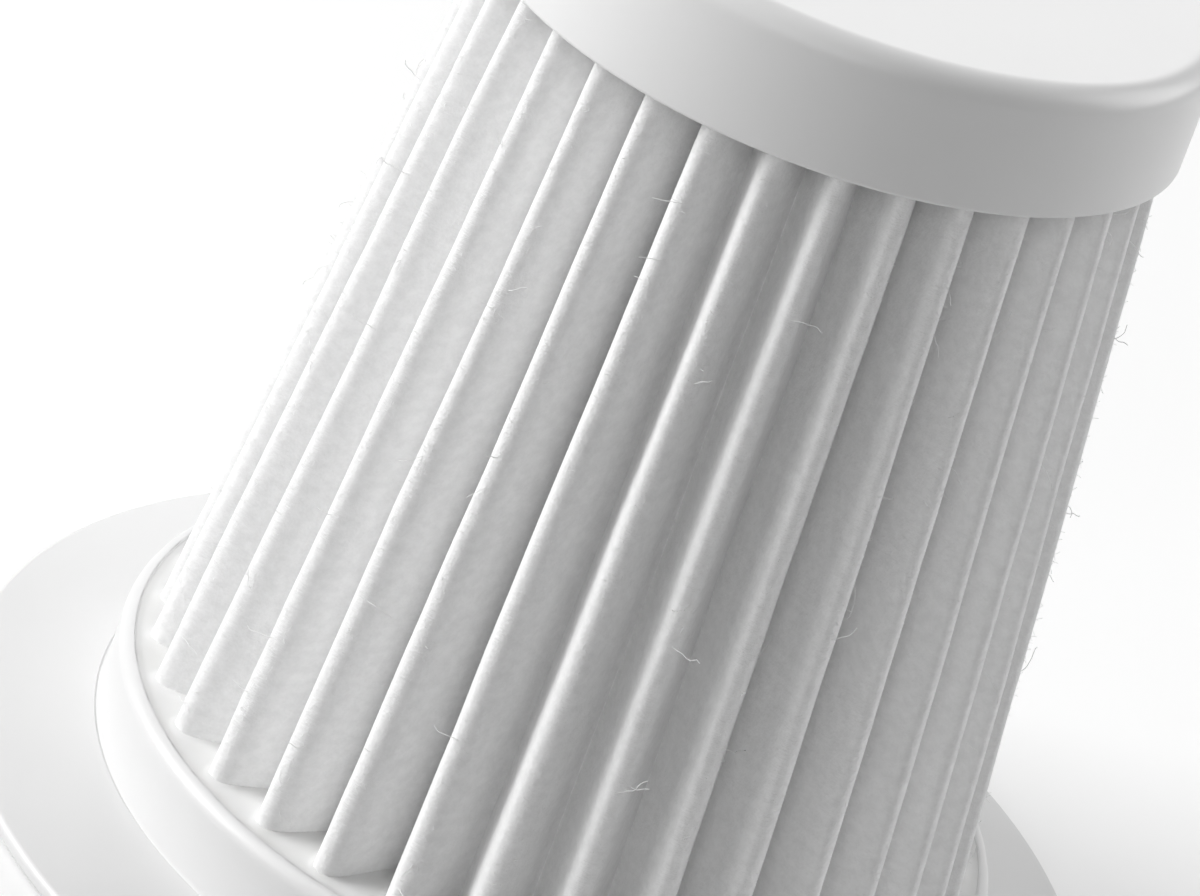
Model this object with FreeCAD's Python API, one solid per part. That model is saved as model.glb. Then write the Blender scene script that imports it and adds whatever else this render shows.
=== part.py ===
import FreeCAD, Part
import math
import os

# Cone-shaped pleated air filter of a small vacuum cleaner, in millimetres, Z up.
# It stands on the seal ring under its flange, and the origin is the centre of that ring's
# lower face. Air passes inward through the pleats and leaves through the throat below.

# Pleated sheet
pleat_count = 34
pleat_height = 67.7
crest_diameter_low = 72.0
crest_narrowing = 17.0
pleat_depth_low = 6.4
pleat_depth_high = 6.2
pleat_lean = 0.22
first_crest_angle = -81.24
sheet_thickness = 0.5
crest_bend_radius = 0.75
valley_bend_radius = 0.8
sheet_embedded_low = 3.3
sheet_embedded_high = 4.0

# Glue round the ends of the sheet and in its seam
base_glue_below_lip = 0.2
cap_glue_above_edge = 3.0
seam_share = 0.4

# Base moulding: collar round the pleats, flange beyond it and throat inside them
crest_to_collar = 1.2
collar_wall = 1.3
collar_height = 7.1
lip_edge_radius = 0.25
flange_width = 11.3
flange_rim_thickness = 1.5
flange_root_thickness = 2.4
flange_edge_radius = 0.6
flange_dish = 0.12
foot_groove_width = 0.15
foot_groove_depth = 0.3
foot_bevel_width = 0.2
foot_bevel_height = 0.3
base_floor_thickness = 2.0
valley_to_throat = 1.4
throat_wall = 1.6
throat_edge_radius = 0.8

# Seal ring and its groove under the flange
seal_to_rim = 4.4
seal_width = 2.8
seal_thickness = 1.4
seal_proud = 0.5
seal_side_clearance = 0.1
seal_edge_radius = 0.35

# Cap
crest_to_cap = 0.1
cap_wall = 1.2
cap_height = 10.3
cap_draft = 2.0
cap_top_radius = 1.9
cap_edge_radius = 0.3
cap_disc_thickness = 1.8
boss_wall = 1.4
boss_height = 3.0

# Cage inside the pleats
cage_wall = 1.4
cage_to_sheet = 0.35
cage_fit = 0.15
cage_foot_height = 2.0
cage_spigot_height = 4.0
cage_spigot_wall = 1.4
cage_head_below_glue = 0.5
cage_hoop_height = 1.6
cage_rib_width = 2.0
cage_rib_count = 16
cage_bay_count = 7

# Radii that follow, from the pleats outward and inward
crest_diameter_high = crest_diameter_low - crest_narrowing
channel_outer = crest_diameter_low / 2 + crest_to_collar
collar_outer = channel_outer + collar_wall
flange_rim = collar_outer + flange_width
channel_inner = crest_diameter_low / 2 - pleat_depth_low - valley_to_throat
throat_inner = channel_inner - throat_wall
seal_outer = flange_rim - seal_to_rim
seal_inner = seal_outer - seal_width
cap_edge_outer = crest_diameter_high / 2 + crest_to_cap + cap_wall

# Heights that follow, from the seal upward
flange_bottom = seal_proud
collar_foot = flange_bottom + flange_root_thickness
lip_height = collar_foot + collar_height
floor_top = flange_bottom + base_floor_thickness
base_glue_top = lip_height - base_glue_below_lip
sheet_bottom = base_glue_top - sheet_embedded_low
cap_edge = lip_height + pleat_height
cap_top = cap_edge + cap_height
cap_ceiling = cap_top - cap_disc_thickness
cap_glue_bottom = cap_edge + cap_glue_above_edge
sheet_top = cap_glue_bottom + sheet_embedded_high

# The sheet's ends meet in a pleat at the back
seam_pleat = pleat_count // 2 + 2


def point(x, y, z=0.0):
    """A point in space."""
    return FreeCAD.Vector(x, y, z)


def between(low_value, high_value, z):
    """A size that changes evenly from the lip's height to the cap's lower edge."""
    return low_value + (high_value - low_value) * (z - lip_height) / pleat_height


def crest_radius(z):
    """Radius of the outermost points of the folds at a height."""
    return between(crest_diameter_low / 2, crest_diameter_high / 2, z)


def valley_radius(z):
    """Radius of the innermost points of the folds at a height."""
    return crest_radius(z) - between(pleat_depth_low, pleat_depth_high, z)


def cage_outer(z):
    """Outer radius of the cage's cone at a height."""
    return valley_radius(z) - cage_to_sheet


def corner_arc(before, corner, after, radius):
    """Centre and both ends of the arc that rounds one corner of an outline."""
    back = (before - corner).normalize()
    ahead = (after - corner).normalize()
    half = back.getAngle(ahead) / 2
    reach = radius / math.tan(half)
    middle = (back + ahead).normalize()
    centre = corner + middle * (radius / math.sin(half))
    return centre, corner + back * reach, corner + ahead * reach


def rounded_wire(corners):
    """A closed wire through corners in the XZ plane, each (r, z) or (r, z, rounding)."""
    places = [point(corner[0], 0, corner[1]) for corner in corners]
    edges = []
    ends = []
    for index, corner in enumerate(corners):
        here = places[index]
        if len(corner) < 3:
            ends.append((here, here))
            continue
        before = places[index - 1]
        after = places[(index + 1) % len(places)]
        centre, start, stop = corner_arc(before, here, after, corner[2])
        middle = centre + (here - centre).normalize() * corner[2]
        ends.append((start, stop))
        edges.append((index, Part.Arc(start, middle, stop).toShape()))
    arcs = dict(edges)
    path = []
    for index in range(len(corners)):
        if index in arcs:
            path.append(arcs[index])
        leave = ends[index][1]
        reach = ends[(index + 1) % len(ends)][0]
        if leave.distanceToPoint(reach) > 1e-6:
            path.append(Part.makeLine(leave, reach))
    return Part.Wire(path)


def turned(corners):
    """A solid of revolution about Z from the corners of half its section."""
    face = Part.Face(rounded_wire(corners))
    return face.revolve(point(0, 0), point(0, 0, 1), 360)


def fold_points(z):
    """Crest and valley corners of the sheet's middle line at a height, in turn."""
    pitch = 360.0 / pleat_count
    half_sheet = sheet_thickness / 2
    crest_reach = crest_radius(z) - half_sheet + sharp_extra(z, crest_bend_radius)
    valley_reach = valley_radius(z) + half_sheet - sharp_extra(z, valley_bend_radius)
    places = []
    for index in range(pleat_count):
        crest_angle = math.radians(first_crest_angle + index * pitch)
        valley_angle = crest_angle + math.radians((0.5 + pleat_lean) * pitch)
        places.append(point(crest_reach * math.cos(crest_angle), crest_reach * math.sin(crest_angle), z))
        places.append(point(valley_reach * math.cos(valley_angle), valley_reach * math.sin(valley_angle), z))
    return places


def sharp_extra(z, bend_radius):
    """How far a fold's sharp corner lies beyond its rounded end."""
    width = 2 * math.pi * (crest_radius(z) + valley_radius(z)) / 2 / pleat_count
    depth = crest_radius(z) - valley_radius(z)
    near_side = math.atan((0.5 - pleat_lean) * width / depth)
    far_side = math.atan((0.5 + pleat_lean) * width / depth)
    half = (near_side + far_side) / 2
    return bend_radius * (1 / math.sin(half) - 1) * math.cos((far_side - near_side) / 2)


def sheet_outline(z, side):
    """One face of the folded sheet at a height: side is +1 for outside and -1 for inside."""
    corners = fold_points(z)
    shift = side * sheet_thickness / 2
    arcs = []
    for index, corner in enumerate(corners):
        is_crest = index % 2 == 0
        bend = crest_bend_radius if is_crest else valley_bend_radius
        before = corners[index - 1]
        after = corners[(index + 1) % len(corners)]
        centre, start, stop = corner_arc(before, corner, after, bend)
        radius = bend + shift if is_crest else bend - shift
        arcs.append([centre + (place - centre).normalize() * radius for place in (start, corner, stop)])
    return arcs


def sheet_wire(z, side):
    """The outline at a height as a closed wire of arcs and straight flanks."""
    arcs = sheet_outline(z, side)
    edges = []
    for index, arc in enumerate(arcs):
        follower = arcs[(index + 1) % len(arcs)]
        edges.append(Part.Arc(*arc).toShape())
        edges.append(Part.makeLine(arc[2], follower[0]))
    return Part.Wire(edges)


def pleated_media():
    """One long sheet folded into leaning pleats and closed into a cone."""
    outside = [sheet_wire(z, 1) for z in (sheet_bottom, sheet_top)]
    inside = [sheet_wire(z, -1) for z in (sheet_bottom, sheet_top)]
    faces = Part.makeLoft(outside, False, True).Faces + Part.makeLoft(inside, False, True).Faces
    for pair in zip(outside, inside):
        cut_edge = Part.makeFace(Part.makeCompound(pair), "Part::FaceMakerBullseye")
        faces.extend(cut_edge.Faces)
    shell = Part.makeShell(faces)
    shell.sewShape()
    return Part.makeSolid(shell)


def media_seam():
    """Bead of glue inside one pleat, where the two ends of the strip are joined."""
    rows = []
    for z in (base_glue_top, cap_glue_bottom):
        rows.append(seam_section(z))
    return Part.makeLoft([Part.makePolygon(row + [row[0]]) for row in rows], True, True)


def seam_section(z):
    """Four corners of the bead at a height, on the inner faces of one pleat."""
    share = (z - sheet_bottom) / (sheet_top - sheet_bottom)
    corners = []
    for end in (sheet_bottom, sheet_top):
        arcs = sheet_outline(end, -1)
        crest = arcs[2 * seam_pleat]
        before = arcs[2 * seam_pleat - 1]
        after = arcs[2 * seam_pleat + 1]
        near_edge = crest[0] + (before[2] - crest[0]) * seam_share
        far_edge = crest[2] + (after[0] - crest[2]) * seam_share
        corners.append([crest[0], near_edge, far_edge, crest[2]])
    return [low + (high - low) * share for low, high in zip(*corners)]


def base_flange():
    """The base moulding: wide flange, collar round the pleats and throat for the clean air."""
    rim_top = flange_bottom + flange_rim_thickness
    groove_start = collar_outer + foot_bevel_width
    groove_end = groove_start + foot_groove_width
    middle = (groove_end + flange_rim) / 2
    middle_height = (collar_foot + rim_top) / 2 - flange_dish
    seal_in = seal_inner - seal_side_clearance
    seal_out = seal_outer + seal_side_clearance
    return turned([
        (throat_inner, flange_bottom, throat_edge_radius),
        (seal_in, flange_bottom),
        (seal_in, seal_thickness),
        (seal_out, seal_thickness),
        (seal_out, flange_bottom),
        (flange_rim, flange_bottom, flange_edge_radius),
        (flange_rim, rim_top, flange_edge_radius),
        (middle, middle_height, flange_rim),
        (groove_end, collar_foot),
        (groove_end, collar_foot - foot_groove_depth),
        (groove_start, collar_foot - foot_groove_depth),
        (collar_outer, collar_foot + foot_bevel_height),
        (collar_outer, lip_height, collar_wall - lip_edge_radius - 0.01),
        (channel_outer, lip_height, lip_edge_radius),
        (channel_outer, floor_top),
        (channel_inner, floor_top),
        (channel_inner, base_glue_top),
        (throat_inner, base_glue_top),
    ])


def seal_ring():
    """Soft ring in the groove under the flange, a little proud of it."""
    return turned([
        (seal_inner, 0.0, seal_edge_radius),
        (seal_outer, 0.0, seal_edge_radius),
        (seal_outer, seal_thickness),
        (seal_inner, seal_thickness),
    ])


def cap_radius(z):
    """Outer radius of the cap's side at a height."""
    return cap_edge_outer - (z - cap_edge) * math.tan(math.radians(cap_draft))


def boss_outer():
    """Radius of the ring inside the cap that the head of the cage fits round."""
    return cage_outer(cap_ceiling) - cage_wall - cage_fit


def top_cap():
    """The closed cap over the upper end, with a soft top edge and a ring for the cage."""
    boss = boss_outer()
    return turned([
        (0.0, cap_ceiling),
        (boss - boss_wall, cap_ceiling),
        (boss - boss_wall, cap_ceiling - boss_height),
        (boss, cap_ceiling - boss_height),
        (boss, cap_ceiling),
        (cap_radius(cap_ceiling) - cap_wall, cap_ceiling),
        (cap_radius(cap_edge) - cap_wall, cap_edge),
        (cap_radius(cap_edge), cap_edge, cap_edge_radius),
        (cap_radius(cap_top), cap_top, cap_top_radius),
        (0.0, cap_top),
    ])


def inner_cage():
    """Cone of ribs and hoops that keeps the pleats from closing up under suction."""
    foot_top = base_glue_top + cage_foot_height
    spigot_outer = throat_inner - cage_fit
    spigot_inner = spigot_outer - cage_spigot_wall
    foot_outer = cage_outer(foot_top)
    head_bottom = cap_glue_bottom - cage_head_below_glue
    shell = turned([
        (spigot_inner, base_glue_top - cage_spigot_height),
        (spigot_outer, base_glue_top - cage_spigot_height),
        (spigot_outer, base_glue_top),
        (foot_outer, base_glue_top),
        (foot_outer, foot_top),
        (cage_outer(cap_ceiling), cap_ceiling),
        (cage_outer(cap_ceiling) - cage_wall, cap_ceiling),
        (foot_outer - cage_wall, foot_top),
        (spigot_inner, foot_top - cage_wall),
    ])
    return shell.cut(cage_windows(foot_top, head_bottom))


def cage_windows(low, high):
    """The open bays of the cage between its ribs and hoops."""
    bay = (high - low + cage_hoop_height) / cage_bay_count
    windows = []
    for row in range(cage_bay_count):
        for column in range(cage_rib_count):
            window = cage_window(low + row * bay, bay - cage_hoop_height)
            window.rotate(point(0, 0), point(0, 0, 1), column * 360.0 / cage_rib_count)
            windows.append(window)
    return Part.makeCompound(windows)


def cage_window(bottom, height):
    """Wedge between two neighbouring ribs, from near the axis out through the cage."""
    half = math.pi / cage_rib_count
    apex = cage_rib_width / 2 / math.sin(half)
    reach = crest_radius(lip_height)
    spread = (reach - apex) * math.tan(half)
    corners = [point(apex, 0, bottom), point(reach, -spread, bottom), point(reach, spread, bottom)]
    face = Part.Face(Part.makePolygon(corners + [corners[0]]))
    return face.extrude(point(0, 0, height))


def base_potting(media):
    """Glue in the base channel, set round the lower end of the sheet."""
    ring = turned([
        (channel_inner, floor_top),
        (channel_outer, floor_top),
        (channel_outer, base_glue_top),
        (channel_inner, base_glue_top),
    ])
    return ring.cut(media)


def cap_potting(media):
    """Glue in the cap, set round the upper end of the sheet and the head of the cage."""
    ring = turned([
        (cage_outer(cap_glue_bottom), cap_glue_bottom),
        (cap_radius(cap_glue_bottom) - cap_wall, cap_glue_bottom),
        (cap_radius(cap_ceiling) - cap_wall, cap_ceiling),
        (cage_outer(cap_ceiling), cap_ceiling),
    ])
    return ring.cut(media)


def write(name, shape):
    """Write one piece to its own file and print what it measures."""
    solids = shape.Solids
    whole = solids[0] if len(solids) == 1 else Part.makeCompound(solids)
    whole.exportStep(os.path.join("parts", name + ".step"))
    size = whole.optimalBoundingBox()
    print(name, len(solids), "solid", round(whole.Volume, 1), "mm3", len(whole.Faces), "faces",
          "z", round(size.ZMin, 2), round(size.ZMax, 2), "valid", whole.isValid())


def build():
    """Make every piece and write it."""
    os.makedirs("parts", exist_ok=True)
    media = pleated_media()
    write("base_flange", base_flange())
    write("seal_ring", seal_ring())
    write("pleated_media", media)
    write("media_seam", media_seam())
    write("base_potting", base_potting(media))
    write("inner_cage", inner_cage())
    write("cap_potting", cap_potting(media))
    write("top_cap", top_cap())


build()
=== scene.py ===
# %% [markdown]
# # A pleated cone filter
# This lesson dresses the air filter of a small vacuum cleaner. The real one is a white
# nonwoven sheet, folded into pleats and closed into a cone, glued at its wide end into a
# moulded base and at its narrow end into a cap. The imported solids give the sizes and
# places; this file gives the surfaces the camera sees.

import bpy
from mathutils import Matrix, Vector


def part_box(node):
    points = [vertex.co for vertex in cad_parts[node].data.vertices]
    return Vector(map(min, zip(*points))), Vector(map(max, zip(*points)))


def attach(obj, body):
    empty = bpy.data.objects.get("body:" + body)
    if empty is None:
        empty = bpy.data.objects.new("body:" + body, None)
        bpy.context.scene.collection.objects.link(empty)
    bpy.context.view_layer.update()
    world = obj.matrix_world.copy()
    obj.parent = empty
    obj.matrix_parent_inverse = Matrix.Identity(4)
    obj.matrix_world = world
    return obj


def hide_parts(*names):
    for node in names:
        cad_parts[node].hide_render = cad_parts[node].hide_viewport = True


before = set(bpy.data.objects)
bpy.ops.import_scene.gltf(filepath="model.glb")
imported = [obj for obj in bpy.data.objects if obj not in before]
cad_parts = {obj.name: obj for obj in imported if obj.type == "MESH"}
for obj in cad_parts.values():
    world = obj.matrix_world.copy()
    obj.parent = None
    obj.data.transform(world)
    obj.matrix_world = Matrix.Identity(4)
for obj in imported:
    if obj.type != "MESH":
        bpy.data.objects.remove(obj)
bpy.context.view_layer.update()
print("solids of the part:", sorted(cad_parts))

# %% [markdown]
# Blender works in metres here, and the filter is a few centimetres tall, so sizes are
# written in millimetres and multiplied once. Whatever a solid's box can tell is read from
# it. The rest repeats the driving sizes of the part.

# %% Sizes of the part
import math

import bpy
import numpy as np
from mathutils import Matrix, Vector

mm = 0.001
flange_low, flange_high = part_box("base_flange")
cap_low, cap_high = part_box("top_cap")
sheet_low, sheet_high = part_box("pleated_media")
glue_low, glue_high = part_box("base_potting")
cap_glue_low, cap_glue_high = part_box("cap_potting")
seal_low, seal_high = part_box("seal_ring")
cage_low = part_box("inner_cage")[0]

pleat_count = 34
crest_radius_at_lip = 36.0 * mm
crest_radius_at_cap = 27.5 * mm
pleat_depth_at_lip = 6.4 * mm
pleat_depth_at_cap = 6.2 * mm
first_crest_angle = math.radians(-81.24)
sheet_thickness = 0.5 * mm
lip_height = flange_high.z
cap_edge = cap_low.z
print(f"lip at {lip_height / mm:.1f} mm, cap edge at {cap_edge / mm:.1f} mm")

# %% [markdown]
# ## Camera
# The photo was taken close to the filter, from a little above it, with the camera rolled so
# that the filter leans to the right. Its place, aim and roll come from the circles of the
# rims and the straight edges of the pleats, so the frame cuts off the same parts.

# %% Place the camera
camera_place = Vector((0.0, -326.07, 200.27)) * mm
camera_aim = Vector((-5.63, 0.0, 36.43)) * mm
camera_roll = math.radians(20.57)
camera_lens = 133.87
sensor_width = 36.0
nearest_seen = 0.01
farthest_seen = 50.0


def add_object(name, data):
    """A new object in the scene, at the origin."""
    made = bpy.data.objects.new(name, data)
    bpy.context.scene.collection.objects.link(made)
    return made


camera = add_object("camera", bpy.data.cameras.new("camera"))
camera.data.sensor_width = sensor_width
camera.data.lens = camera_lens
camera.data.clip_start = nearest_seen
camera.data.clip_end = farthest_seen
facing = (camera_aim - camera_place).to_track_quat("-Z", "Y").to_matrix()
rolled = facing @ Matrix.Rotation(camera_roll, 3, "Z")
camera.matrix_world = Matrix.Translation(camera_place) @ rolled.to_4x4()
bpy.context.scene.camera = camera
bpy.context.scene.view_settings.view_transform = "Standard"
print("camera", [round(value, 4) for value in camera.location], "lens", camera_lens)

# %% [markdown]
# ## Node helpers
# Every material and every tree below is made of small nodes. A helper that adds a node, sets
# its plain values and wires its inputs keeps each recipe to a few readable lines. A value
# that is a socket becomes a link, and anything else becomes the input's own value.

# %% Helpers for nodes
def add_node(tree, kind, inputs=None, **settings):
    """A new node with its settings made and its inputs set or linked."""
    node = tree.nodes.new(kind)
    for name, value in settings.items():
        setattr(node, name, value)
    for name, value in (inputs or {}).items():
        if isinstance(value, bpy.types.NodeSocket):
            tree.links.new(value, node.inputs[name])
        else:
            node.inputs[name].default_value = value
    return node


def maths(tree, operation, *values):
    """The result of a step of arithmetic on numbers."""
    node = add_node(tree, "ShaderNodeMath", dict(enumerate(values)), operation=operation)
    return node.outputs[0]


def vector_maths(tree, operation, *values):
    """The result of a step of arithmetic on vectors."""
    node = add_node(tree, "ShaderNodeVectorMath", dict(enumerate(values)), operation=operation)
    return node.outputs[0]


def scaled(tree, vector, number):
    """A vector times a number."""
    inputs = {0: vector, "Scale": number}
    return add_node(tree, "ShaderNodeVectorMath", inputs, operation="SCALE").outputs[0]


def combined(tree, **axes):
    """A vector from its X, Y and Z. An axis that isn't given is zero."""
    return add_node(tree, "ShaderNodeCombineXYZ", axes).outputs[0]


def spread(tree, value, from_low, from_high, to_low, to_high, **settings):
    """A number carried over from one range to another."""
    return add_node(tree, "ShaderNodeMapRange", {
        "Value": value, "From Min": from_low, "From Max": from_high,
        "To Min": to_low, "To Max": to_high}, **settings).outputs["Result"]


def new_group(name, kind, inputs, outputs):
    """An empty node group, the sockets it is given and the sockets for its results."""
    group = bpy.data.node_groups.new(name, kind)
    for label, socket, value in inputs:
        made = group.interface.new_socket(
            label, in_out="INPUT", socket_type="NodeSocket" + socket)
        if value is not None:
            made.default_value = value
    for label, socket in outputs:
        group.interface.new_socket(label, in_out="OUTPUT", socket_type="NodeSocket" + socket)
    given = add_node(group, "NodeGroupInput")
    result = add_node(group, "NodeGroupOutput")
    return group, given.outputs, result.inputs


print("node helpers ready")

# %% [markdown]
# ## Texture groups
# Two effects are shared by several materials. Nonwoven sheet is a felt of fine fibres: it
# shows as a soft mottle with a finer speckle on top, and where it is bent over a crest the
# fibres that cross the crest stand out as fine strokes. Moulded plastic has a very fine,
# nearly even skin. Each is one shader group that puts out a mask and a height, and each
# material chooses its own scale and strength.

# %% Group: fibre felt
stroke_stretch = (1500.0, 6500.0, 1000.0)
stroke_at_crest = 0.8
stroke_elsewhere = 0.15
noise_middle = 0.5


def noise(tree, place, scale, roughness=0.5, **inputs):
    """The grey value of a noise texture with some finer detail in it."""
    return add_node(tree, "ShaderNodeTexNoise", {
        "Vector": place, "Scale": scale, "Detail": 2.0, "Roughness": roughness,
        **inputs}).outputs["Fac"]


def make_felt_group():
    """Felt seen close. Place is (across the fold, along it, a shift for each fold)."""
    group, given, result = new_group(
        "fibre_felt", "ShaderNodeTree",
        [("Place", "Vector", None), ("Cloud Scale", "Float", 1100.0),
         ("Grain Scale", "Float", 4200.0), ("Grain Share", "Float", 0.5),
         ("Crest Half Width", "Float", 1.3 * mm)],
        [("Mask", "Float"), ("Height", "Float")])
    place = given["Place"]
    clouds = noise(group, place, given["Cloud Scale"], 0.6)
    grain = noise(group, place, given["Grain Scale"], 0.7)
    speckle = maths(group, "SUBTRACT", grain, noise_middle)
    mottle = maths(group, "MULTIPLY_ADD", speckle, given["Grain Share"], clouds)
    stretched = vector_maths(group, "MULTIPLY", place, stroke_stretch)
    strokes = noise(group, stretched, 1.0, 0.6, Distortion=0.8)
    across = add_node(group, "ShaderNodeSeparateXYZ", {"Vector": place}).outputs["X"]
    crest = spread(group, maths(group, "ABSOLUTE", across), 0.0, given["Crest Half Width"],
                   1.0, 0.0, interpolation_type="SMOOTHSTEP")
    share = maths(group, "MULTIPLY_ADD", crest, stroke_at_crest, stroke_elsewhere)
    height = maths(group, "MULTIPLY_ADD", strokes, share, mottle)
    group.links.new(mottle, result["Mask"])
    group.links.new(height, result["Height"])
    return group


felt_group = make_felt_group()
print("shader group", felt_group.name)

# %% Group: moulded skin
def make_skin_group():
    """Very fine relief and uneven polish of a moulded surface, from Object coordinates."""
    group, given, result = new_group(
        "moulded_skin", "ShaderNodeTree",
        [("Grain Scale", "Float", 9000.0), ("Cloud Scale", "Float", 60.0)],
        [("Mask", "Float"), ("Height", "Float")])
    place = add_node(group, "ShaderNodeTexCoord").outputs["Object"]
    group.links.new(noise(group, place, given["Cloud Scale"]), result["Mask"])
    group.links.new(noise(group, place, given["Grain Scale"]), result["Height"])
    return group


skin_group = make_skin_group()
print("shader group", skin_group.name)

# %% [markdown]
# ## Materials
# All of the filter is white, so the finishes differ by gloss and relief alone. The sheet is
# dull and a little fuzzy, so it gets a rough surface, a trace of sheen and the deepest
# relief. The mouldings have a satin skin, the glue is less even, and the seal is grey rubber.
# Noise seldom leaves the middle of its range, so that part of it is stretched over the
# whole span between the two ends of each colour and roughness.

# %% Helper for the finishes
noise_low = 0.3
noise_high = 0.7
sheen_roughness = 0.4


def shade_range(tree, mask, dark, light):
    """A colour that goes from dark to light with a mask."""
    ramp = add_node(tree, "ShaderNodeValToRGB", {"Fac": mask})
    stops = zip(ramp.color_ramp.elements, (noise_low, noise_high), (dark, light))
    for stop, position, colour in stops:
        stop.position = position
        stop.color = (*colour, 1.0)
    return ramp.outputs["Color"]


def finish_of(name, group, scales, colours, roughness, relief,
              specular=0.5, sheen=0.0, place=None):
    """A Principled material whose colour, gloss and relief come from one texture group."""
    material = bpy.data.materials.new(name)
    material.use_nodes = True
    tree = material.node_tree
    surface = tree.nodes["Principled BSDF"].inputs
    pattern = add_node(tree, "ShaderNodeGroup", node_tree=group)
    for label, value in scales.items():
        pattern.inputs[label].default_value = value
    if place == "object":
        where = add_node(tree, "ShaderNodeTexCoord").outputs["Object"]
        tree.links.new(where, pattern.inputs["Place"])
    elif place:
        told = add_node(tree, "ShaderNodeAttribute", attribute_name=place)
        tree.links.new(told.outputs["Vector"], pattern.inputs["Place"])
    mask = pattern.outputs["Mask"]
    tree.links.new(shade_range(tree, mask, *colours), surface["Base Color"])
    polish = spread(tree, mask, noise_low, noise_high, *roughness)
    tree.links.new(polish, surface["Roughness"])
    bump = add_node(tree, "ShaderNodeBump", {
        "Height": pattern.outputs["Height"], "Strength": 1.0, "Distance": relief})
    tree.links.new(bump.outputs["Normal"], surface["Normal"])
    surface["Specular IOR Level"].default_value = specular
    surface["Sheen Weight"].default_value = sheen
    surface["Sheen Roughness"].default_value = sheen_roughness
    return material


print("finish helper ready")

# %% Make the finishes
sheet_finish = finish_of(
    "nonwoven_sheet", felt_group, {},
    ((0.85, 0.85, 0.85), (0.92, 0.92, 0.92)), (0.75, 0.9), 0.07 * mm,
    specular=0.2, sheen=0.1, place="felt_place")
fibre_finish = finish_of(
    "loose_fibre", felt_group, {"Cloud Scale": 2500.0},
    ((0.85, 0.85, 0.85), (0.9, 0.9, 0.9)), (0.5, 0.7), 0.002 * mm,
    specular=0.3, place="object")
moulding_finish = finish_of(
    "white_moulding", skin_group, {},
    ((0.75, 0.75, 0.75), (0.77, 0.77, 0.77)), (0.32, 0.38), 0.002 * mm)
cage_finish = finish_of(
    "cage_moulding", skin_group, {"Grain Scale": 4000.0},
    ((0.8, 0.8, 0.79), (0.84, 0.84, 0.83)), (0.4, 0.5), 0.004 * mm)
glue_finish = finish_of(
    "set_glue", skin_group, {"Grain Scale": 900.0, "Cloud Scale": 250.0},
    ((0.77, 0.77, 0.76), (0.8, 0.8, 0.8)), (0.4, 0.55), 0.01 * mm)
seal_finish = finish_of(
    "soft_seal", skin_group, {"Grain Scale": 6000.0, "Cloud Scale": 200.0},
    ((0.56, 0.56, 0.56), (0.64, 0.64, 0.64)), (0.6, 0.75), 0.006 * mm, specular=0.3)
print("finishes:", [made.name for made in bpy.data.materials if made.use_nodes])

# %% [markdown]
# ## Turned mouldings
# The base, the cap and the seal are round all over, so each is one outline turned about Z.
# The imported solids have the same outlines, but as loose flat triangles, and this close the
# camera would see their corners. An outline written as corners with roundings, sampled
# finely and turned in many steps, gives clean highlights. A point just before and just
# after each rounding keeps the flat parts flat under smooth shading.

# %% Helpers for a soft outline
corner_steps = 8
support_gap = 0.12 * mm
room_for_support = 3 * support_gap


def corner_arc(before, corner, after, radius):
    """Centre, start and end of the arc that rounds a corner."""
    back = (before - corner).normalized()
    ahead = (after - corner).normalized()
    half = back.angle(ahead) / 2
    reach = radius / math.tan(half)
    centre = corner + (back + ahead).normalized() * (radius / math.sin(half))
    return centre, corner + back * reach, corner + ahead * reach


def arc_points(centre, start, stop):
    """Points along the shorter arc between two points round a centre."""
    first = start - centre
    last = stop - centre
    points = []
    for step in range(corner_steps + 1):
        direction = first.lerp(last, step / corner_steps).normalized()
        points.append(centre + direction * first.length)
    return points


def soft_outline(corners):
    """Points (r, z) of a closed outline whose corners may have a third value, a rounding."""
    places = [Vector(corner[:2]) for corner in corners]
    points = []
    for index, corner in enumerate(corners):
        here = places[index]
        before = places[index - 1]
        after = places[(index + 1) % len(places)]
        if len(corner) < 3:
            points.append(here)
            continue
        centre, start, stop = corner_arc(before, here, after, corner[2])
        if (before - start).length > room_for_support:
            points.append(start + (before - start).normalized() * support_gap)
        points.extend(arc_points(centre, start, stop))
        if (after - stop).length > room_for_support:
            points.append(stop + (after - stop).normalized() * support_gap)
    return points


print("a corner is rounded in", corner_steps, "steps")

# %% Helpers for turned pieces
turn_steps = 256
pole_radius = 1e-7
sharp_angle = math.radians(50)


def signed_volume(mesh):
    """Volume of a closed mesh, below zero if its faces point inward."""
    mesh.calc_loop_triangles()
    total = 0.0
    for triangle in mesh.loop_triangles:
        a, b, c = (mesh.vertices[index].co for index in triangle.vertices)
        total += a.dot(b.cross(c)) / 6
    return total


def mesh_object(name, vertices, faces, material):
    """A smooth mesh object from vertices and faces, with its faces turned outward."""
    mesh = bpy.data.meshes.new(name)
    mesh.from_pydata(vertices, [], faces)
    mesh.validate()
    if signed_volume(mesh) < 0:
        mesh.flip_normals()
    mesh.materials.append(material)
    mesh.shade_smooth()
    mesh.set_sharp_from_angle(angle=sharp_angle)
    return add_object(name, mesh)


def lathe(name, outline, steps, material):
    """A closed outline of points (r, z), turned about Z in steps and closed at its poles."""
    angles = [2 * math.pi * step / steps for step in range(steps)]
    vertices = []
    rows = []
    for radius, z in outline:
        first = len(vertices)
        if radius < pole_radius:
            rows.append([first] * steps)
            vertices.append((0.0, 0.0, z))
        else:
            rows.append(list(range(first, first + steps)))
            vertices.extend((radius * math.cos(a), radius * math.sin(a), z) for a in angles)
    faces = []
    for row, following in zip(rows, rows[1:] + rows[:1]):
        for step in range(steps):
            after = (step + 1) % steps
            ring = dict.fromkeys((row[step], row[after], following[after], following[step]))
            if len(ring) > 2:
                faces.append(list(ring))
    return mesh_object(name, vertices, faces, material)


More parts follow.
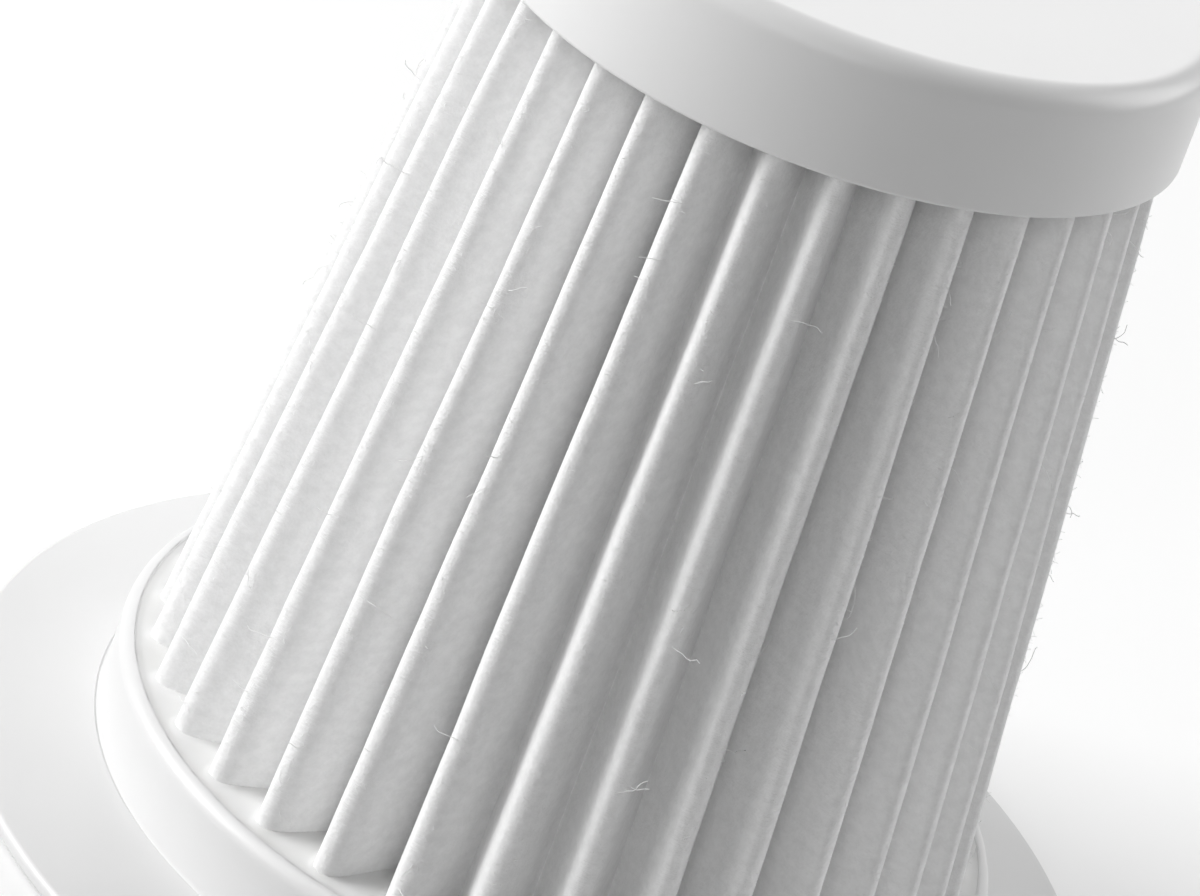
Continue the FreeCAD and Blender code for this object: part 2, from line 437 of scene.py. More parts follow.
def turned(name, corners, material):
    """A moulding: an outline of rounded corners, turned about Z."""
    return lathe(name, soft_outline(corners), turn_steps, material)


def settle(made, slot, *nodes):
    """The piece rides on the one body and stands for CAD nodes, which it hides. The slot is
    not used.
    """
    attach(made, "root")
    if nodes:
        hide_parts(*nodes)
    print(f"{made.name}: {len(made.data.vertices)} vertices, {len(made.data.polygons)} faces")
    return made


print("a turned piece has", turn_steps, "steps round")

# %% [markdown]
# The base is one moulding. From outside in: a flange that falls gently to its rounded rim,
# a fine groove at the foot of the collar, the collar with a soft shoulder, a small rounded
# lip, the channel that holds the glue, and the throat for the clean air.

# %% Base moulding
collar_outer = 38.5 * mm
collar_wall = 1.3 * mm
collar_foot = 2.9 * mm
lip_rounding = 0.12 * mm
shoulder_rounding = collar_wall - lip_rounding - 0.01 * mm
foot_bevel_width = 0.2 * mm
foot_bevel_height = 0.3 * mm
groove_width = 0.15 * mm
groove_depth = 0.1 * mm
groove_rounding = 0.06 * mm
groove_wall_rounding = 0.04 * mm
rim_radius = 49.8 * mm
rim_top = 2.0 * mm
rim_rounding = 0.6 * mm
flange_sag = 0.12 * mm
flange_bend = rim_radius
channel_outer = collar_outer - collar_wall
throat_inner = 26.6 * mm
throat_wall = 1.6 * mm
throat_outer = throat_inner + throat_wall
throat_rounding = 0.8 * mm
seal_groove_in = 42.5 * mm
seal_groove_out = 45.5 * mm
edge_rounding = 0.1 * mm

groove_start = collar_outer + foot_bevel_width
groove_end = groove_start + groove_width
groove_floor = collar_foot - groove_depth
flange_middle = (groove_end + rim_radius) / 2
flange_middle_height = (collar_foot + rim_top) / 2 - flange_sag
base = turned("base_moulding", [
    (throat_inner, flange_low.z, throat_rounding),
    (seal_groove_in, flange_low.z, edge_rounding),
    (seal_groove_in, seal_high.z),
    (seal_groove_out, seal_high.z),
    (seal_groove_out, flange_low.z, edge_rounding),
    (rim_radius, flange_low.z, rim_rounding),
    (rim_radius, rim_top, rim_rounding),
    (flange_middle, flange_middle_height, flange_bend),
    (groove_end, collar_foot, groove_rounding),
    (groove_end, groove_floor, groove_rounding),
    (groove_start, groove_floor, groove_wall_rounding),
    (collar_outer, collar_foot + foot_bevel_height),
    (collar_outer, lip_height, shoulder_rounding),
    (channel_outer, lip_height, lip_rounding),
    (channel_outer, glue_low.z),
    (throat_outer, glue_low.z),
    (throat_outer, glue_high.z),
    (throat_inner, glue_high.z),
], moulding_finish)
settle(base, "white_moulding", "base_flange")

# %% [markdown]
# The cap has a straight side with a little draft, a wide soft top edge and a thin lower
# edge. Inside it has a ring that the head of the cage fits round.

# %% Cap
cap_radius = cap_high.x
cap_draft = math.tan(math.radians(2.0))
cap_wall = 1.2 * mm
cap_disc = 1.8 * mm
cap_top_rounding = 1.9 * mm
cap_edge_rounding = 0.3 * mm
cap_inner_rounding = 0.15 * mm
boss_outer = 18.37 * mm
boss_inner = 16.97 * mm
boss_depth = 3.0 * mm
boss_rounding = 0.2 * mm
cap_ceiling = cap_high.z - cap_disc
boss_end = cap_ceiling - boss_depth

cap = turned("cap_moulding", [
    (0.0, cap_ceiling),
    (boss_inner, cap_ceiling),
    (boss_inner, boss_end, boss_rounding),
    (boss_outer, boss_end, boss_rounding),
    (boss_outer, cap_ceiling),
    (cap_radius - cap_draft * (cap_ceiling - cap_edge) - cap_wall, cap_ceiling),
    (cap_radius - cap_wall, cap_edge, cap_inner_rounding),
    (cap_radius, cap_edge, cap_edge_rounding),
    (cap_radius - cap_draft * (cap_high.z - cap_edge), cap_high.z, cap_top_rounding),
    (cap_radius / 2, cap_high.z),
    (0.0, cap_high.z),
], moulding_finish)
settle(cap, "white_moulding", "top_cap")

# %% [markdown]
# The seal is a soft ring, pressed into the groove under the flange. Its lower face is
# rounded at both edges and stands a little proud of the flange.

# %% Seal ring
seal_outer = seal_high.x
seal_inner = seal_outer - 2.8 * mm
seal_rounding = 0.35 * mm
seal = turned("seal", [
    (seal_inner, seal_low.z, seal_rounding),
    (seal_outer, seal_low.z, seal_rounding),
    (seal_outer, seal_high.z, edge_rounding),
    (seal_inner, seal_high.z, edge_rounding),
], seal_finish)
settle(seal, "soft_seal", "seal_ring")

# %% [markdown]
# ## The pleated sheet
# The sheet is the main piece, and its shape follows a rule: one leaning fold, repeated
# thirty-four times round a cone. So the outer face of one fold is drawn as a strip, and a
# Geometry Nodes tree turns copies of it round the axis, merges their edges and then bends
# the whole with a slow noise, because no real fold is quite straight. At the end Solidify
# gives the sheet its thickness, inward from that face.
#
# The fold itself is a smooth spline that a few controls pull into shape. The control that
# is given twice makes the valley's crease: tight, but wide enough for the thickness in it.

# %% One fold as a line
fold_controls = [
    (-0.22, 0.445), (-0.18, 0.275), (-0.14, 0.12), (-0.08, 0.02), (0.02, 0.0), (0.12, 0.02),
    (0.2, 0.1), (0.265, 0.235), (0.32, 0.375), (0.375, 0.52), (0.43, 0.66), (0.49, 0.8),
    (0.55, 0.93), (0.605, 1.0), (0.605, 1.0), (0.635, 0.92), (0.685, 0.77), (0.735, 0.61),
]
steps_per_control = 3


def at_height(low, high, z):
    """A size that changes evenly from the lip to the cap's lower edge."""
    return low + (high - low) * (z - lip_height) / (cap_edge - lip_height)


def crest_radius(z):
    """Radius of the crests' cone at a height."""
    return at_height(crest_radius_at_lip, crest_radius_at_cap, z)


def pleat_depth(z):
    """Depth of the pleats, with the sheet's thickness, at a height."""
    return at_height(pleat_depth_at_lip, pleat_depth_at_cap, z)


def spline_place(controls, share):
    """A place on a uniform cubic spline between the second and third of four controls."""
    rest = 1.0 - share
    weights = (rest ** 3, 3 * share ** 3 - 6 * share ** 2 + 4,
               3 * rest ** 3 - 6 * rest ** 2 + 4, share ** 3)
    parts = (Vector(control) * weight for control, weight in zip(controls, weights))
    return sum(parts, Vector((0.0, 0.0))) / 6


def fold_profile():
    """One fold as (turn in pleats, share of the depth), from flank to flank over the crest."""
    count = len(fold_controls)
    flank_before_crest = count - 3
    wrapped = [(turn + lap, depth) for lap in (-1, 0, 1) for turn, depth in fold_controls]
    places = []
    for step in range(count * steps_per_control + 1):
        index, part = divmod(step, steps_per_control)
        first = flank_before_crest + index
        places.append(spline_place(wrapped[first:first + 4], part / steps_per_control))
    highest = min(place.y for place in places)
    lowest = max(place.y for place in places)
    return [(place.x, (place.y - highest) / (lowest - highest)) for place in places]


def fold_line(z):
    """The outer face of one fold at a height, with its crest and valley on their circles."""
    pitch = 2 * math.pi / pleat_count
    depth = pleat_depth(z) - sheet_thickness
    line = []
    for turn, share in profile:
        radius = crest_radius(z) - share * depth
        line.append(Vector((radius * math.cos(turn * pitch), radius * math.sin(turn * pitch))))
    return line


def line_length(points):
    """Length of a line through points."""
    return sum((after - before).length for before, after in zip(points, points[1:]))


profile = fold_profile()
middle_line = fold_line((sheet_low.z + sheet_high.z) / 2)
print(f"one fold: {len(profile)} points across, {line_length(middle_line) / mm:.1f} mm long")

# %% [markdown]
# The strip is a grid of that line at even heights. Each corner of a face also remembers
# where it lies on the flat sheet, measured from the crest, so the felt follows the folds.

# %% One fold as a strip
row_count = 25


def make_strip():
    """The strip of one fold, with its place on the flat sheet stored for the felt."""
    rows = np.linspace(sheet_low.z, sheet_high.z, row_count)
    points = [Vector((*place, z)) for z in rows for place in fold_line(z)]
    columns = len(profile)
    faces = []
    for row in range(row_count - 1):
        for column in range(columns - 1):
            corner = row * columns + column
            faces.append((corner, corner + 1, corner + columns + 1, corner + columns))
    mesh = bpy.data.meshes.new("pleated_sheet")
    mesh.from_pydata(points, [], faces)
    across = [line_length(middle_line[:column + 1]) for column in range(columns)]
    crest_column = max(range(columns), key=lambda column: middle_line[column].length)
    felt_place = mesh.attributes.new("felt_place", "FLOAT_VECTOR", "CORNER")
    for loop in mesh.loops:
        row, column = divmod(loop.vertex_index, columns)
        from_crest = across[column] - across[crest_column]
        felt_place.data[loop.index].vector = (from_crest, rows[row], 0.0)
    return mesh


sheet = add_object("pleated_sheet", make_strip())
print(f"one fold: {len(sheet.data.polygons)} faces in {row_count} rows of points")

# %% [markdown]
# The slow bend is a group of its own, because the loose fibres further down have to follow
# the same crests. It turns a place into a small level offset. The noise is stretched along
# Z, so a fold wanders slowly on its way up.

# %% Group: slow wander of the folds
wander_size = 0.5 * mm
ripple_size = 0.16 * mm
wander_seed = 7.0
wander_stretch = (140.0, 140.0, 28.0)
ripple_stretch = (260.0, 260.0, 170.0)
half_of_each = (noise_middle, noise_middle, noise_middle)
keep_level = (1.0, 1.0, 0.0)


def make_wander_group():
    """Small level offset of a place on the sheet, from a slow and a finer noise."""
    group, given, result = new_group(
        "fold_wander", "GeometryNodeTree",
        [("Slow Amount", "Float", wander_size), ("Fine Amount", "Float", ripple_size),
         ("Seed", "Float", wander_seed)],
        [("Offset", "Vector")])
    place = add_node(group, "GeometryNodeInputPosition").outputs["Position"]
    offsets = []
    for stretch, amount in ((wander_stretch, "Slow Amount"), (ripple_stretch, "Fine Amount")):
        stretched = vector_maths(group, "MULTIPLY", place, stretch)
        texture = add_node(group, "ShaderNodeTexNoise", {
            "Vector": stretched, "W": given["Seed"], "Scale": 1.0, "Detail": 1.0},
            noise_dimensions="4D")
        centred = vector_maths(group, "SUBTRACT", texture.outputs["Color"], half_of_each)
        offsets.append(scaled(group, centred, given[amount]))
    level = vector_maths(group, "MULTIPLY", vector_maths(group, "ADD", *offsets), keep_level)
    group.links.new(level, result["Offset"])
    return group


wander_group = make_wander_group()
print("folds wander by up to", wander_size / 2 / mm, "and", ripple_size / 2 / mm, "mm")

# %% [markdown]
# Each of the trees below takes geometry, some named sizes and a material, and ends by
# giving its geometry that material. A modifier's inputs are known by identifiers, not by
# names, so a helper looks them up. Once its tree has run, a piece is made a plain mesh.

# %% Helpers for geometry trees
def new_tree(name, inputs):
    """A geometry tree with its geometry, named sizes and material as inputs."""
    inputs = [("Geometry", "Geometry", None), *inputs, ("Material", "Material", None)]
    return new_group(name, "GeometryNodeTree", inputs, [("Geometry", "Geometry")])


def finish_tree(tree, geometry, given, result):
    """Ends a tree: its geometry is made smooth, gets the material and goes out."""
    smooth = add_node(tree, "GeometryNodeSetShadeSmooth", {"Geometry": geometry})
    dressed = add_node(tree, "GeometryNodeSetMaterial", {
        "Geometry": smooth.outputs[0], "Material": given["Material"]})
    tree.links.new(dressed.outputs[0], result["Geometry"])
    return tree


def store(tree, geometry, name, value, kind="FLOAT", domain="POINT"):
    """Geometry that remembers a value under a name."""
    return add_node(tree, "GeometryNodeStoreNamedAttribute", {
        "Geometry": geometry, "Name": name, "Value": value},
        data_type=kind, domain=domain).outputs[0]


def recall(tree, name, kind="FLOAT"):
    """The value that geometry remembers under a name."""
    return add_node(tree, "GeometryNodeInputNamedAttribute", {"Name": name},
                    data_type=kind).outputs["Attribute"]


def move(tree, geometry, **where):
    """Geometry put at a Position or shifted by an Offset."""
    return add_node(
        tree, "GeometryNodeSetPosition", {"Geometry": geometry, **where}).outputs[0]


def copies(tree, points, instance, **how):
    """Copies of an instance on points, with a Rotation or a Scale."""
    return add_node(tree, "GeometryNodeInstanceOnPoints", {
        "Points": points, "Instance": instance, **how}).outputs[0]


def realize(tree, geometry):
    """Geometry with its instances made real."""
    return add_node(tree, "GeometryNodeRealizeInstances", {"Geometry": geometry}).outputs[0]


def run_tree(made, tree, **inputs):
    """Adds a tree as a modifier and sets its named inputs by their identifiers."""
    modifier = made.modifiers.new(tree.name, "NODES")
    modifier.node_group = tree
    for item in tree.interface.items_tree:
        label = item.name.replace(" ", "_").lower()
        if item.item_type == "SOCKET" and item.in_out == "INPUT" and label in inputs:
            modifier[item.identifier] = inputs[label]


def bake(made):
    """Turns an object with its modifiers into a plain mesh and drops the modifiers."""
    bpy.context.view_layer.update()
    evaluated = made.evaluated_get(bpy.context.evaluated_depsgraph_get())
    mesh = bpy.data.meshes.new_from_object(evaluated)
    made.modifiers.clear()
    made.data = mesh
    mesh.name = made.name
    return made


print("tree helpers ready")

# %% Tree: folds round the cone
merge_reach = 0.005 * mm
felt_shift_per_fold = 13.0 * mm


def make_pleat_tree():
    """Copies of one strip turned round Z, merged into one sheet and bent a little."""
    tree, given, result = new_tree("pleats_round_a_cone", [
        ("Pleats", "Int", pleat_count), ("First Angle", "Float", first_crest_angle),
        ("Merge", "Float", merge_reach)])
    points = add_node(tree, "GeometryNodePoints", {"Count": given["Pleats"]}).outputs[0]
    index = add_node(tree, "GeometryNodeInputIndex").outputs["Index"]
    pitch = maths(tree, "DIVIDE", 2 * math.pi, given["Pleats"])
    turn = maths(tree, "MULTIPLY_ADD", index, pitch, given["First Angle"])
    numbered = store(tree, points, "fold", index)
    strips = realize(tree, copies(
        tree, numbered, given["Geometry"], Rotation=combined(tree, Z=turn)))
    shift = maths(tree, "MULTIPLY", recall(tree, "fold"), felt_shift_per_fold)
    felt_place = vector_maths(
        tree, "ADD", recall(tree, "felt_place", "FLOAT_VECTOR"), combined(tree, Z=shift))
    kept = store(tree, strips, "felt_place", felt_place, "FLOAT_VECTOR", "CORNER")
    whole = add_node(tree, "GeometryNodeMergeByDistance", {
        "Geometry": kept, "Distance": given["Merge"]}).outputs[0]
    wander = add_node(tree, "GeometryNodeGroup", node_tree=wander_group).outputs[0]
    return finish_tree(tree, move(tree, whole, Offset=wander), given, result)


run_tree(sheet, make_pleat_tree(), material=sheet_finish)
print("tree with", pleat_count, "folds on the strip")

# %% [markdown]
# Solidify then gives the sheet its thickness, and an even offset keeps that thickness the
# same in the bends. The crease stays sharp under smooth shading, because any edge over a
# small angle is marked sharp; the bends of the crest are finer than that.

# %% The finished sheet
sheet_crease_angle = math.radians(24)
thicken = sheet.modifiers.new("sheet_thickness", "SOLIDIFY")
thicken.thickness = sheet_thickness
thicken.offset = -1.0
thicken.use_even_offset = True
bake(sheet)
if signed_volume(sheet.data) < 0:
    sheet.data.flip_normals()
sheet.data.set_sharp_from_angle(angle=sheet_crease_angle)
settle(sheet, "nonwoven_sheet", "pleated_media")
strip_length = pleat_count * line_length(middle_line)
slant = math.hypot(sheet_high.z - sheet_low.z, crest_radius_at_lip - crest_radius_at_cap)
print(f"sheet volume {signed_volume(sheet.data) / mm ** 3:.0f} mm3, "
      f"strip {strip_length / mm:.0f} by {slant / mm:.0f} mm")

# %% [markdown]
# ## Glue
# The folds stand in glue, poured in level and pulled up a little wherever it wets the sheet
# or the wall. That rise is what the eye reads as a glued joint. The tree measures how far
# each point of a level ring is from the sheet and lifts the near ones. The glue in the cap
# hangs, so there the rise points down.

# %% Tree: glue that climbs the sheet
climb_blend = 0.25 * mm
climb_power = 2.2
level_slack = 0.01 * mm


def make_glue_tree():
    """Lifts the points of a ring that lie near the sheet or near the outer wall."""
    tree, given, result = new_tree("climbing_glue", [
        ("Sheet", "Object", None), ("Climb", "Float", 0.16 * mm), ("Reach", "Float", 0.7 * mm),
        ("Wall Radius", "Float", channel_outer), ("Level", "Float", glue_high.z)])
    target = add_node(tree, "GeometryNodeObjectInfo", {"Object": given["Sheet"]})
    to_sheet = add_node(tree, "GeometryNodeProximity", {
        "Geometry": target.outputs["Geometry"]}, target_element="FACES").outputs["Distance"]
    place = add_node(tree, "GeometryNodeInputPosition").outputs["Position"]
    axes = add_node(tree, "ShaderNodeSeparateXYZ", {"Vector": place}).outputs
    radius = add_node(tree, "ShaderNodeVectorMath", {
        0: combined(tree, X=axes["X"], Y=axes["Y"])}, operation="LENGTH").outputs["Value"]
    to_wall = maths(tree, "ABSOLUTE", maths(tree, "SUBTRACT", given["Wall Radius"], radius))
    gap = maths(tree, "SMOOTH_MIN", to_sheet, to_wall, climb_blend)
    near = spread(tree, gap, 0.0, given["Reach"], 1.0, 0.0)
    rise = maths(tree, "MULTIPLY", maths(tree, "POWER", near, climb_power), given["Climb"])
    above_level = maths(tree, "SUBTRACT", axes["Z"], given["Level"])
    is_top = maths(tree, "COMPARE", above_level, 0.0, level_slack)
    lift = combined(tree, Z=maths(tree, "MULTIPLY", rise, is_top))
    return finish_tree(tree, move(tree, given["Geometry"], Offset=lift), given, result)


glue_tree = make_glue_tree()
print("geometry tree", glue_tree.name)

# %% Glue in the base
glue_turns = 36 * pleat_count
base_glue_rings = 44
wall_overlap = 0.05 * mm


def glue_ring(name, inner, outer, level, far_side, rings):
    """A closed ring of glue: a fine level face and a plain far side."""
    outline = [(radius, level) for radius in np.linspace(inner, outer, rings + 1)]
    outline += [(outer, far_side), (inner, far_side)]
    return lathe(name, outline, glue_turns, glue_finish)


base_glue = glue_ring("base_glue", throat_outer, channel_outer + wall_overlap,
                      glue_high.z, glue_low.z, base_glue_rings)
run_tree(base_glue, glue_tree, sheet=sheet, material=glue_finish)
bake(base_glue)
settle(base_glue, "glue", "base_potting")

# %% Glue in the cap
cap_glue_outer = cap_glue_high.x - 0.02 * mm
cage_head_outer = 20.59 * mm
cap_glue_rings = 14
hanging_climb = -0.4 * mm
cap_glue = glue_ring("cap_glue", cage_head_outer, cap_glue_outer,
                     cap_glue_low.z, cap_glue_high.z, cap_glue_rings)
run_tree(cap_glue, glue_tree, sheet=sheet, material=glue_finish, climb=hanging_climb,
         wall_radius=cap_glue_outer, level=cap_glue_low.z)
bake(cap_glue)
settle(cap_glue, "glue", "cap_potting")

# %% [markdown]
# ## The cage
# The cage inside is a cone of hoops and ribs, seen only through the throat. Both are bars
# with rounded edges, so a tree sweeps a rounded section along circles for the hoops and
# along a slanted line for the ribs. The foot and the head are turned rings.

# %% Sizes of the cage
rib_count = 16
bay_count = 7
cage_wall = 1.4 * mm
hoop_height = 1.6 * mm
rib_width = 2.0 * mm
cage_to_sheet = 0.35 * mm
foot_thickness = 2.0 * mm
head_under_glue = 0.5 * mm


def cage_outer(z):
    """Outer radius of the cage's cone at a height."""
    return crest_radius(z) - pleat_depth(z) - cage_to_sheet


foot_low = glue_high.z
foot_top = foot_low + foot_thickness
head_low = cap_glue_low.z - head_under_glue
bay = (head_low - foot_top + hoop_height) / bay_count
print(f"cage: {rib_count} ribs, {bay_count - 1} hoops, {bay / mm:.1f} mm apart")

# %% Tree: hoops and ribs
bar_rounding = 0.25 * mm
bar_rounding_steps = 3
hoop_steps = 128
cage_sharp_angle = math.radians(40)


def rounded_bar(tree, curve, width, height):
    """A bar swept along a curve: its section is a rectangle with small round corners."""
    square = add_node(tree, "GeometryNodeCurvePrimitiveQuadrilateral", {
        "Width": width, "Height": height}).outputs[0]
    section = add_node(tree, "GeometryNodeFilletCurve", {
        "Curve": square, "Radius": bar_rounding, "Count": bar_rounding_steps},
        mode="POLY").outputs[0]
    return add_node(tree, "GeometryNodeCurveToMesh", {
        "Curve": curve, "Profile Curve": section, "Fill Caps": True}).outputs[0]


def cage_ribs(tree, given):
    """One slanted bar, copied round the axis and turned to the middle of each gap."""
    low_end = combined(tree, X=given["Low Radius"], Z=given["Low Height"])
    high_end = combined(tree, X=given["High Radius"], Z=given["High Height"])
    line = add_node(tree, "GeometryNodeCurvePrimitiveLine", {
        "Start": low_end, "End": high_end}).outputs[0]
    rib = rounded_bar(tree, line, given["Rib Width"], given["Wall"])
    points = add_node(tree, "GeometryNodePoints", {"Count": given["Ribs"]}).outputs[0]
    index = add_node(tree, "GeometryNodeInputIndex").outputs["Index"]
    pitch = maths(tree, "DIVIDE", 2 * math.pi, given["Ribs"])
    turn = maths(tree, "MULTIPLY", maths(tree, "ADD", index, 0.5), pitch)
    return copies(tree, points, rib, Rotation=combined(tree, Z=turn))


def cage_hoops(tree, given):
    """Circles at even heights, each sized to the cone, swept into bars."""
    points = add_node(tree, "GeometryNodePoints", {"Count": given["Hoops"]}).outputs[0]
    index = add_node(tree, "GeometryNodeInputIndex").outputs["Index"]
    height = maths(tree, "MULTIPLY_ADD", index, given["Hoop Step"], given["First Hoop"])
    radius = spread(tree, height, given["Low Height"], given["High Height"],
                    given["Low Radius"], given["High Radius"])
    size = combined(tree, X=radius, Y=radius, Z=1.0)
    sized = store(tree, points, "hoop_size", size, "FLOAT_VECTOR")
    lifted = move(tree, sized, Position=combined(tree, Z=height))
    circle = add_node(tree, "GeometryNodeCurvePrimitiveCircle", {
        "Resolution": hoop_steps, "Radius": 1.0}).outputs[0]
    circles = realize(tree, copies(
        tree, lifted, circle, Scale=recall(tree, "hoop_size", "FLOAT_VECTOR")))
    return rounded_bar(tree, circles, given["Wall"], given["Hoop Height"])


def make_cage_tree():
    """Ribs at even angles and hoops at even heights, joined into one mesh."""
    tree, given, result = new_tree("hoops_and_ribs", [
        ("Ribs", "Int", rib_count), ("Hoops", "Int", bay_count - 1),
        ("Low Radius", "Float", cage_outer(foot_top) - cage_wall / 2),
        ("High Radius", "Float", cage_outer(head_low) - cage_wall / 2),
        ("Low Height", "Float", foot_top), ("High Height", "Float", head_low),
        ("First Hoop", "Float", foot_top + bay - hoop_height / 2),
        ("Hoop Step", "Float", bay), ("Hoop Height", "Float", hoop_height),
        ("Rib Width", "Float", rib_width), ("Wall", "Float", cage_wall)])
    both = add_node(tree, "GeometryNodeJoinGeometry")
    for bars in (cage_ribs(tree, given), cage_hoops(tree, given)):
        tree.links.new(bars, both.inputs[0])
    return finish_tree(tree, realize(tree, both.outputs[0]), given, result)


cage = add_object("cage_hoops_and_ribs", bpy.data.meshes.new("cage_hoops_and_ribs"))
run_tree(cage, make_cage_tree(), material=cage_finish)
bake(cage)
cage.data.shade_smooth()
cage.data.set_sharp_from_angle(angle=cage_sharp_angle)
settle(cage, "cage_moulding", "inner_cage")
print(f"cage box {[round(value / mm, 1) for value in cage.dimensions]} mm")

# %% Foot and head of the cage
spigot_outer = throat_inner - 0.15 * mm
spigot_inner = spigot_outer - cage_wall
spigot_rounding = 0.3 * mm
ring_rounding = 0.2 * mm
foot_outer = cage_outer(foot_top)
cage_foot = turned("cage_foot", [
    (spigot_inner, cage_low.z, spigot_rounding),
    (spigot_outer, cage_low.z, spigot_rounding),
    (spigot_outer, foot_low),
    (foot_outer, foot_low, ring_rounding),
    (foot_outer, foot_top, ring_rounding),
    (foot_outer - cage_wall, foot_top, ring_rounding),
    (spigot_inner, foot_top - cage_wall, spigot_rounding),
], cage_finish)
settle(cage_foot, "cage_moulding")

cage_head = turned("cage_head", [
    (cage_outer(head_low), head_low, ring_rounding),
    (cage_outer(cap_ceiling), cap_ceiling),
    (cage_outer(cap_ceiling) - cage_wall, cap_ceiling),
    (cage_outer(head_low) - cage_wall, head_low, ring_rounding),
], cage_finish)
settle(cage_head, "cage_moulding")

# %% [markdown]
# The glue seam inside one pleat at the back is hidden, and its solid has the right shape, so
# it stays and only takes the glue's finish.

# %% Finish of the hidden seam
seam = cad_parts["media_seam"]
seam.data.materials.clear()
seam.data.materials.append(glue_finish)
print("seam keeps its solid")

# %% [markdown]
# ## Loose fibres
# A cut felt is never clean: here and there a long fibre stands out from a crest and curls,
# and a fuzz of short ones covers it. One bent hair is drawn as a thin tube, copied to random
# places on the crests, turned and sized at random and bent by a noise, so no two are alike.

# %% Where the fibres stand
seed_step = 31.0
fibre_margin = 0.5 * mm
fibre_root_depth = 0.05 * mm
fall_beside_crest = -2.4 * mm


def random_value(tree, kind, seed, stream, low, high):
    """A random value between two limits, one stream of random numbers for each use."""
    node = add_node(tree, "FunctionNodeRandomValue", data_type=kind)
    sockets = {socket.name: socket for socket in node.inputs if socket.enabled}
    for name, value in (("Min", low), ("Max", high)):
        if isinstance(value, bpy.types.NodeSocket):
            tree.links.new(value, sockets[name])
        else:
            sockets[name].default_value = value
    mixed = maths(tree, "MULTIPLY_ADD", seed, seed_step, float(stream))
    tree.links.new(mixed, sockets["Seed"])
    return [socket for socket in node.outputs if socket.enabled][0]


def crest_places(tree, given):
    """Points on or close beside the crests, bent like the folds, and their turn about Z."""
    seed = given["Seed"]
    pleat = random_value(tree, "INT", seed, 1, 0, pleat_count - 1)
    height = random_value(
        tree, "FLOAT", seed, 2, lip_height + fibre_margin, cap_edge - fibre_margin)
    beside = random_value(tree, "FLOAT", seed, 7, 0.0, given["Crest Share"])
    crest = spread(tree, height, lip_height, cap_edge,
                   crest_radius_at_lip - fibre_root_depth,
                   crest_radius_at_cap - fibre_root_depth)
    radius = maths(tree, "MULTIPLY_ADD", beside, fall_beside_crest, crest)
    turn = maths(tree, "MULTIPLY_ADD", maths(tree, "ADD", pleat, beside),
                 2 * math.pi / pleat_count, first_crest_angle)
    outward = combined(tree, X=maths(tree, "COSINE", turn), Y=maths(tree, "SINE", turn))
    root = vector_maths(tree, "ADD", scaled(tree, outward, radius), combined(tree, Z=height))
    points = add_node(tree, "GeometryNodePoints", {"Count": given["Count"]}).outputs[0]
    wander = add_node(tree, "GeometryNodeGroup", node_tree=wander_group).outputs[0]
    return move(tree, move(tree, points, Position=root), Offset=wander), turn


print(f"fibres stand {fibre_margin / mm} mm or more from the lip and the cap")

# %% Tree: fibres on the crests
hair_middle = (0.9 * mm, 0.0, 0.5 * mm)
hair_end = (1.1 * mm, 0.0, 1.8 * mm)
yaw_spread = 1.1
lean_spread = 0.5
curl_scale = 700.0
hair_sides = 4
crest_share = 0.17


def curled_hairs(tree, given, places, turn):
    """Copies of one bent hair, turned and sized at random and curled more to their tips."""
    seed = given["Seed"]
    hair = add_node(tree, "GeometryNodeCurveQuadraticBezier", {
        "Resolution": given["Bends"], "Start": (0.0, 0.0, 0.0), "Middle": hair_middle,
        "End": hair_end}).outputs[0]
    share = add_node(tree, "GeometryNodeSplineParameter").outputs["Factor"]
    yaw = random_value(tree, "FLOAT", seed, 3, -yaw_spread, yaw_spread)
    tilt = combined(
        tree, X=random_value(tree, "FLOAT", seed, 4, -math.pi, math.pi),
        Y=random_value(tree, "FLOAT", seed, 5, -lean_spread, lean_spread),
        Z=maths(tree, "ADD", yaw, turn))
    size = random_value(tree, "FLOAT", seed, 6, given["Shortest"], given["Longest"])
    hairs = realize(tree, copies(
        tree, places, store(tree, hair, "along", share), Rotation=tilt, Scale=size))
    place = add_node(tree, "GeometryNodeInputPosition").outputs["Position"]
    texture = add_node(tree, "ShaderNodeTexNoise", {
        "Vector": place, "Scale": curl_scale, "Detail": 1.0})
    centred = vector_maths(tree, "SUBTRACT", texture.outputs["Color"], half_of_each)
    amount = maths(tree, "MULTIPLY", recall(tree, "along"), given["Curl"])
    return move(tree, hairs, Offset=scaled(tree, centred, amount))


def make_fibre_tree():
    """Thin curled hairs at random places on the crests of the folds."""
    tree, given, result = new_tree("loose_fibres", [
        ("Count", "Int", None), ("Seed", "Int", None), ("Thickness", "Float", None),
        ("Crest Share", "Float", crest_share), ("Shortest", "Float", None),
        ("Longest", "Float", None), ("Curl", "Float", None), ("Bends", "Int", None)])
    hairs = curled_hairs(tree, given, *crest_places(tree, given))
    ring = add_node(tree, "GeometryNodeCurvePrimitiveCircle", {
        "Resolution": hair_sides, "Radius": given["Thickness"]}).outputs[0]
    tubes = add_node(tree, "GeometryNodeCurveToMesh", {
        "Curve": hairs, "Profile Curve": ring, "Fill Caps": True}).outputs[0]
    return finish_tree(tree, tubes, given, result)


fibre_tree = make_fibre_tree()
print("geometry tree", fibre_tree.name)

# %% Long and short fibres
fibre_sets = {
    "long_fibres": dict(count=170, seed=3, thickness=0.034 * mm, shortest=0.5,
                        longest=1.4, curl=1.6 * mm, bends=10),
    "short_fibres": dict(count=5200, seed=11, thickness=0.02 * mm, shortest=0.08,
                         longest=0.36, curl=0.4 * mm, bends=3),
}
for name, settings in fibre_sets.items():
    hairs = add_object(name, bpy.data.meshes.new(name))
    run_tree(hairs, fibre_tree, material=fibre_finish, **settings)
    settle(bake(hairs), "nonwoven_sheet")

